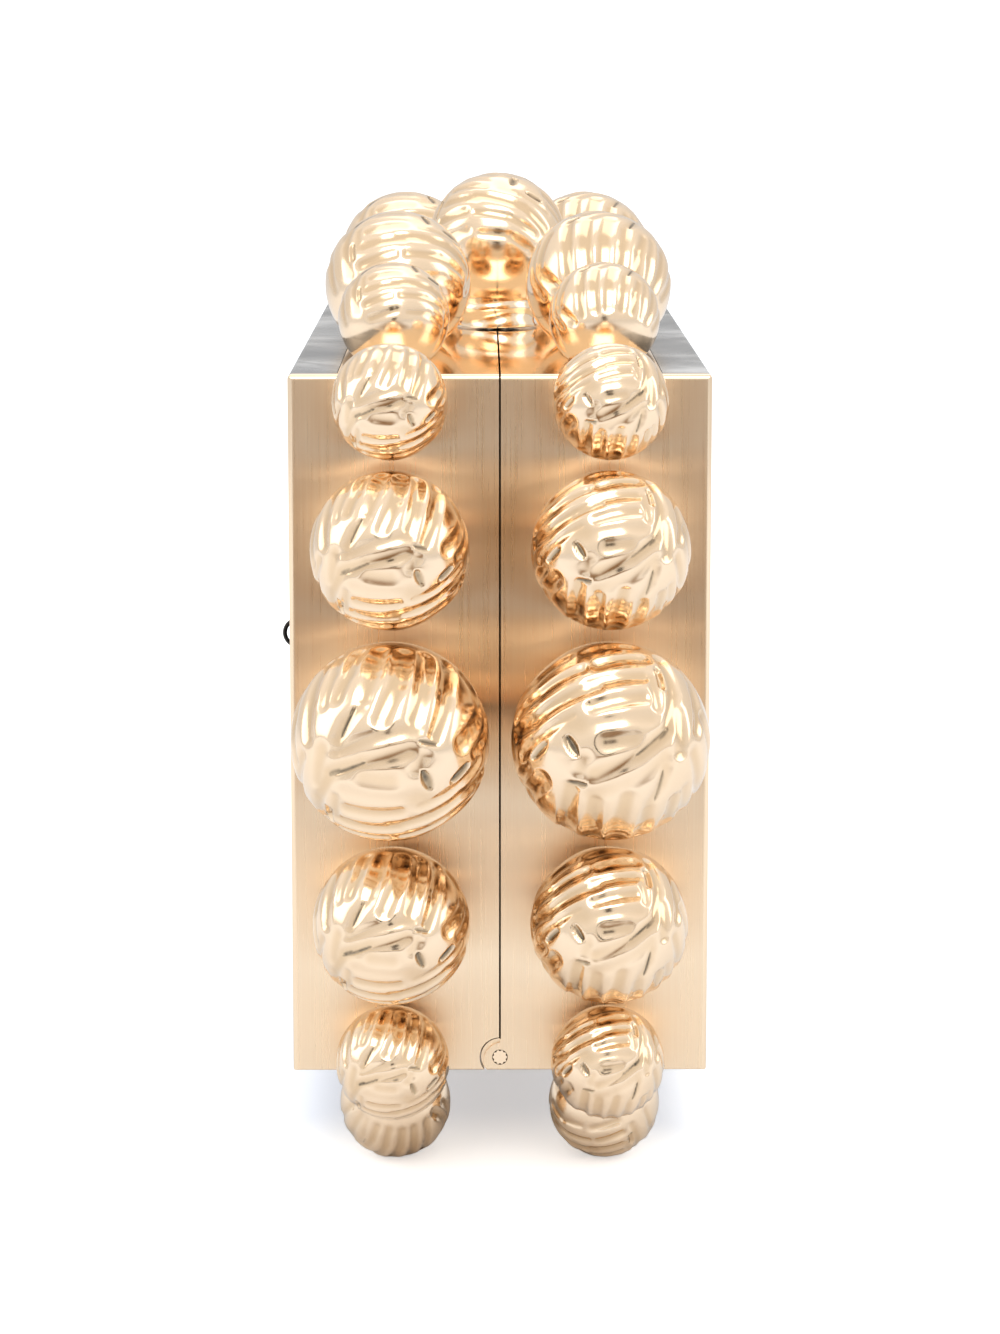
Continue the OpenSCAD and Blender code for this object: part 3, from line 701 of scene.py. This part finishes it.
def ballTree():
    # places one casting: pushes the strokes in, sizes, turns and moves it, then flattens its seat
    tree = bpy.data.node_groups.new("hammeredBall", "GeometryNodeTree")
    face = tree.interface
    for name, kind in (("Geometry", "Geometry"), ("Radius", "Float"), ("Stroke Depth", "Float"),
                       ("Centre", "Vector"), ("Turn", "Vector"), ("Seat Point", "Vector"),
                       ("Seat Normal", "Vector"), ("Finish", "Material")):
        face.new_socket(name, in_out="INPUT", socket_type="NodeSocket" + kind)
    face.new_socket("Geometry", in_out="OUTPUT", socket_type="NodeSocketGeometry")
    given = addNode(tree, "NodeGroupInput")
    # push the strokes in
    gouge = addNode(tree, "GeometryNodeInputNamedAttribute", {"data_type": "FLOAT"}, {"Name": "gouge"})
    place = addNode(tree, "GeometryNodeInputPosition")
    depth = addNode(tree, "ShaderNodeMath", {"operation": "MULTIPLY"},
                    links={0: gouge.outputs["Attribute"], 1: given.outputs["Stroke Depth"]})
    inward = addNode(tree, "ShaderNodeMath", {"operation": "SUBTRACT"}, {0: 1.0}, {1: depth.outputs[0]})
    pushed = addNode(tree, "ShaderNodeVectorMath", {"operation": "SCALE"},
                     links={0: place.outputs["Position"], "Scale": inward.outputs[0]})
    carve = addNode(tree, "GeometryNodeSetPosition",
                    links={"Geometry": given.outputs["Geometry"], "Position": pushed.outputs["Vector"]})
    # size, turn and move
    size = addNode(tree, "ShaderNodeCombineXYZ", links={i: given.outputs["Radius"] for i in range(3)})
    move = addNode(tree, "GeometryNodeTransform",
                   links={"Geometry": carve.outputs["Geometry"], "Translation": given.outputs["Centre"],
                          "Rotation": given.outputs["Turn"], "Scale": size.outputs["Vector"]})
    # lift what lies behind the seat onto it
    where = addNode(tree, "GeometryNodeInputPosition")
    fromSeat = addNode(tree, "ShaderNodeVectorMath", {"operation": "SUBTRACT"},
                       links={0: where.outputs["Position"], 1: given.outputs["Seat Point"]})
    above = addNode(tree, "ShaderNodeVectorMath", {"operation": "DOT_PRODUCT"},
                    links={0: fromSeat.outputs["Vector"], 1: given.outputs["Seat Normal"]})
    below = addNode(tree, "ShaderNodeMath", {"operation": "MINIMUM"}, {1: 0.0}, {0: above.outputs["Value"]})
    back = addNode(tree, "ShaderNodeMath", {"operation": "MULTIPLY"}, {1: -1.0}, {0: below.outputs[0]})
    lift = addNode(tree, "ShaderNodeVectorMath", {"operation": "SCALE"},
                   links={0: given.outputs["Seat Normal"], "Scale": back.outputs[0]})
    flat = addNode(tree, "GeometryNodeSetPosition",
                   links={"Geometry": move.outputs["Geometry"], "Offset": lift.outputs["Vector"]})
    # nothing goes below the floor
    ground = addNode(tree, "GeometryNodeInputPosition")
    parts = addNode(tree, "ShaderNodeSeparateXYZ", links={"Vector": ground.outputs["Position"]})
    kept = addNode(tree, "ShaderNodeMath", {"operation": "MAXIMUM"}, {1: 0.0}, {0: parts.outputs["Z"]})
    joined = addNode(tree, "ShaderNodeCombineXYZ",
                     links={0: parts.outputs["X"], 1: parts.outputs["Y"], 2: kept.outputs[0]})
    stood = addNode(tree, "GeometryNodeSetPosition",
                    links={"Geometry": flat.outputs["Geometry"], "Position": joined.outputs["Vector"]})
    smooth = addNode(tree, "GeometryNodeSetShadeSmooth", inputs={"Shade Smooth": True},
                     links={"Geometry": stood.outputs["Geometry"]})
    real = addNode(tree, "GeometryNodeRealizeInstances", links={"Geometry": smooth.outputs["Geometry"]})
    finish = addNode(tree, "GeometryNodeSetMaterial",
                     links={"Geometry": real.outputs["Geometry"], "Material": given.outputs["Finish"]})
    addNode(tree, "NodeGroupOutput", links={"Geometry": finish.outputs["Geometry"]})
    return tree


def runTree(name, mesh, tree, values):
    # runs a tree on a mesh and returns the result as a plain object
    maker = putInScene(bpy.data.objects.new(name + "_maker", mesh))
    modifier = maker.modifiers.new("make", "NODES")
    modifier.node_group = tree
    sockets = {item.name: item.identifier for item in tree.interface.items_tree
               if item.item_type == "SOCKET" and item.in_out == "INPUT"}
    for key, value in values.items():
        modifier[sockets[key]] = value
    graph = bpy.context.evaluated_depsgraph_get()
    made = bpy.data.meshes.new_from_object(maker.evaluated_get(graph), depsgraph=graph)
    maker.modifiers.clear()
    bpy.data.objects.remove(maker)
    return putInScene(bpy.data.objects.new(name, made))


def outwardTurn(outward, roll):
    # turn that takes the casting's +X face to the outward direction, rolled about it
    up = Vector((0, 0, 1)) if outward.x else Vector((1, 0, 0))
    base = Matrix((outward, up.cross(outward), up)).transposed()
    return (base @ Matrix.Rotation(math.radians(roll), 3, "X")).to_euler()


def makeBall(node, body, size, outward, roll, deep=1.0):
    low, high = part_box(node)
    outward = Vector(outward)
    centre, radius = (low + high) / 2, (high.y - low.y) / 2
    axis = 0 if outward.x else 2
    ahead = outward[axis] > 0
    centre[axis] = high[axis] - radius if ahead else low[axis] + radius
    if outward.z < 0:       # a foot, whose lowest part is the flat that it stands on
        centre.z = math.sqrt(radius ** 2 - ballSettings["footFlat"] ** 2)
    seat = Vector((0, 0, 0))
    seat[axis] = low[axis] if ahead else high[axis]
    piece = runTree(node + "_hammered", castings[size], placeTree, {
        "Radius": radius, "Stroke Depth": deep, "Centre": tuple(centre),
        "Turn": tuple(outwardTurn(outward, roll)), "Seat Point": tuple(seat),
        "Seat Normal": tuple(outward), "Finish": ballGold})
    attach(piece, body)
    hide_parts(node)


arcs = shortArcs(strokes, ballSettings["deeper"])
darkArcs = shortArcs(hollows, ballSettings["deeper"])
castings = {size: castingMesh("casting_" + size, cells, arcs, darkArcs, ballSettings)
            for size, cells in ballSettings["cells"].items()}
placeTree = ballTree()
print("castings ready:", len(arcs + darkArcs), "arcs")

rowSettings = {
    "end": ("small", "middle", "large", "middle", "small"),
    "top": ("small", "middle", "middle", "small"),
    "feet": 2,
    # half: roll of its end balls and feet, roll of its top balls, depth of their strokes
    "halves": {"front": (0, 180, 0.5), "rear": (191, 11, 0.8)},
    "clasp": (150, 0.6),            # roll, depth of the strokes
}
for half, (roll, topRoll, topDeep) in rowSettings["halves"].items():
    for side, outward in (("right", (1, 0, 0)), ("left", (-1, 0, 0))):
        for i, size in enumerate(rowSettings["end"], 1):
            makeBall(f"{half}_{side}_ball_{i}", half, size, outward, roll)
    for i, size in enumerate(rowSettings["top"], 1):
        makeBall(f"{half}_top_ball_{i}", half, size, (0, 0, 1), topRoll, topDeep)
    for i in range(1, rowSettings["feet"] + 1):
        makeBall(f"{half}_foot_ball_{i}", half, "small", (0, 0, -1), roll)
makeBall("clasp_ball", "clasp", "middle", (0, 0, 1), *rowSettings["clasp"])


neckSettings = {
    # outline from the base up: share of the collar's radius, share of its height
    "outline": [(0.99, 0.0), (1.01, 0.03), (1.03, 0.12), (1.07, 0.4),
                (1.09, 0.75), (1.07, 1.05), (1.02, 1.3), (0.95, 1.5)],
    # level folds that wander round it: height share, wander, turns, start, half width, depth (m)
    "folds": [(0.36, 0.18, 2, 0.6, 0.36, 0.0010), (1.00, 0.20, 1, 2.3, 0.34, 0.0009)],
    "foldSharpness": 1.5,
    "around": 128, "up": 44,        # mesh cells
}


def makeNeck(s):
    # the same hammered casting runs down under the clasp ball to the bag's top
    low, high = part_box("clasp_collar")
    middle, radius, tall = (low + high) / 2, (high.x - low.x) / 2, high.z - low.z
    shares, heights = zip(*s["outline"])
    around, up = s["around"], s["up"]
    level = np.linspace(0, heights[-1], up)[:, None]
    angle = np.linspace(0, 2 * math.pi, around, endpoint=False)[None, :]
    reach = np.interp(level, heights, shares) * radius + np.zeros_like(angle)
    for at, wander, turns, start, half, depth in s["folds"]:
        line = at + wander * np.sin(turns * angle + start)
        reach = reach - depth * np.exp(-((level - line) / half) ** 2 * s["foldSharpness"])
    reach[0] = radius * shares[0]
    x, y = middle.x + reach * np.cos(angle), middle.y + reach * np.sin(angle)
    z = low.z + level * tall + np.zeros_like(angle)
    points = np.stack((x, y, z), 2).reshape(-1, 3).tolist()
    faces = [(k * around + i, k * around + (i + 1) % around,
              (k + 1) * around + (i + 1) % around, (k + 1) * around + i)
             for k in range(up - 1) for i in range(around)]
    faces += [tuple(range(around))[::-1], tuple(range((up - 1) * around, up * around))]
    mesh = bpy.data.meshes.new("clasp_collar_hammered")
    mesh.from_pydata(points, [], faces)
    mesh.polygons.foreach_set("use_smooth", [True] * (len(faces) - 2) + [False] * 2)
    mesh.materials.append(ballGold)
    piece = putInScene(bpy.data.objects.new("clasp_collar_hammered", mesh))
    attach(piece, "clasp")
    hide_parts("clasp_collar")


makeNeck(neckSettings)
print("balls and clasp neck ready")
